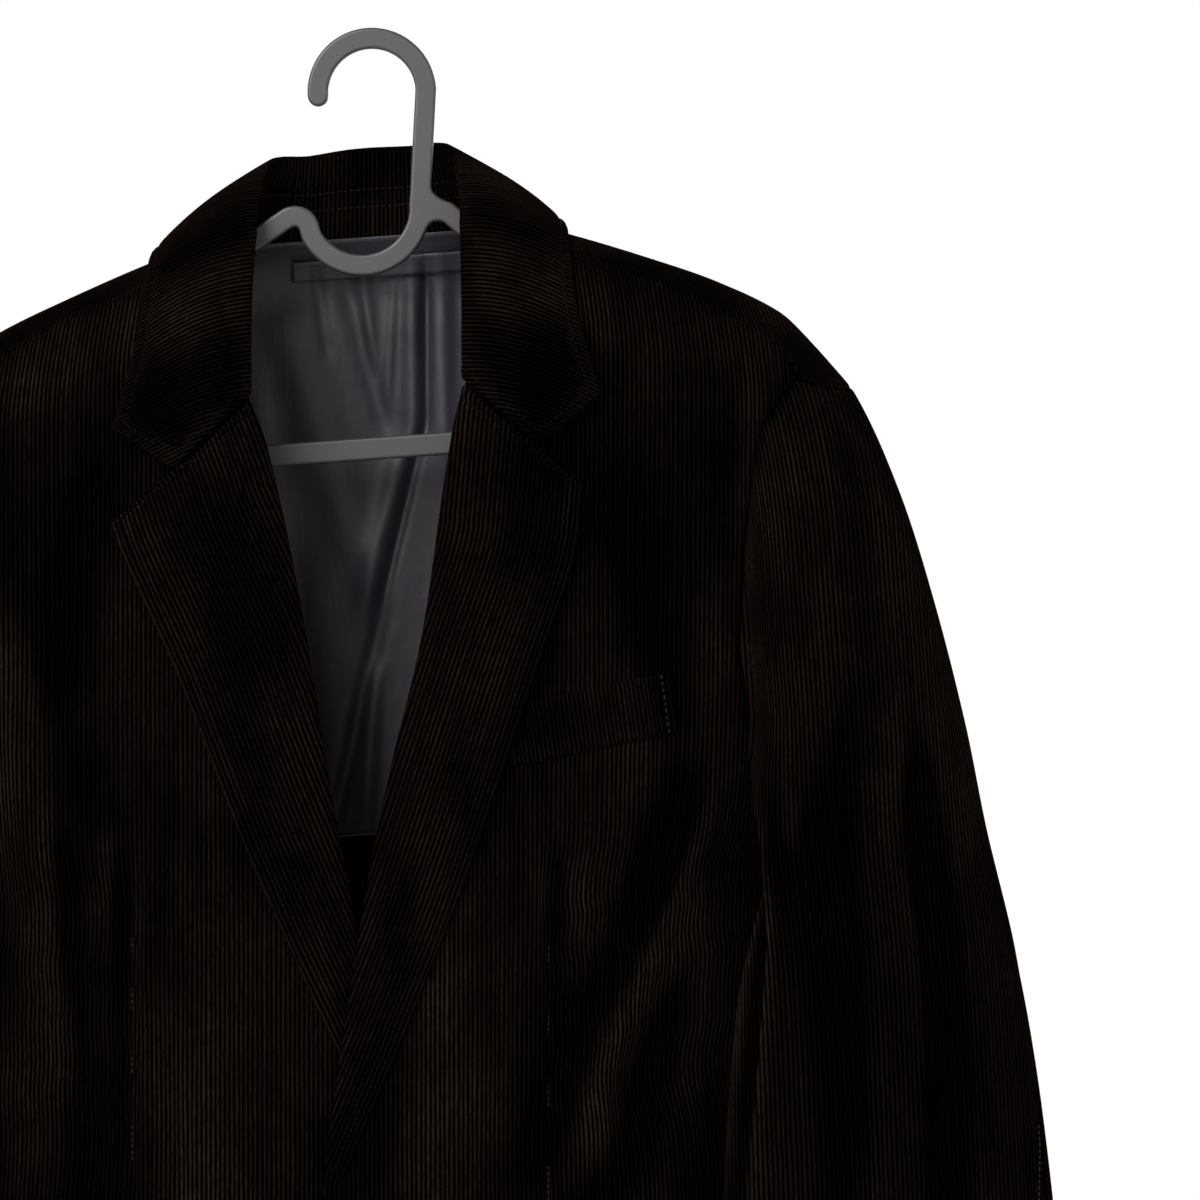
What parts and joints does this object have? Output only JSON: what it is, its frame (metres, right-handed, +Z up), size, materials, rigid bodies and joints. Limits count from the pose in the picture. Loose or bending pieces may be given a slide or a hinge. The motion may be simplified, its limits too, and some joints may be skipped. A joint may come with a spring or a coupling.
{
  "type": "corduroy jacket on a hanger",
  "caption": "Single-breasted corduroy jacket with notched lapels, hanging level and flat on a one-piece hook hanger.",
  "frame": {"origin": "inner top of the hanger's hook, where a rail or peg carries it", "axes": "+X towards the wearer's left, +Y from the front to the back, +Z up"},
  "size_m": [0.6638, 0.1424, 0.8569],
  "materials": {
    "corduroy": "cotton corduroy with soft nap",
    "lining": "satin",
    "hanger_plastic": "satin moulded",
    "button_plastic": "satin"
  },
  "bodies": {
    "root": {"front_left": "corduroy", "front_right": "corduroy", "back_left": "corduroy", "back_right": "corduroy", "lapel_left": "corduroy", "lapel_right": "corduroy", "sleeve_top_left": "corduroy", "sleeve_top_right": "corduroy", "sleeve_under_left": "corduroy", "sleeve_under_right": "corduroy", "collar_fall": "corduroy", "collar_stand": "corduroy", "breast_welt": "corduroy", "back_lining": "lining", "hanger_loop": "lining", "button_upper": "button_plastic", "button_lower": "button_plastic", "hanger": "hanger_plastic"}
  },
  "joints": []
}
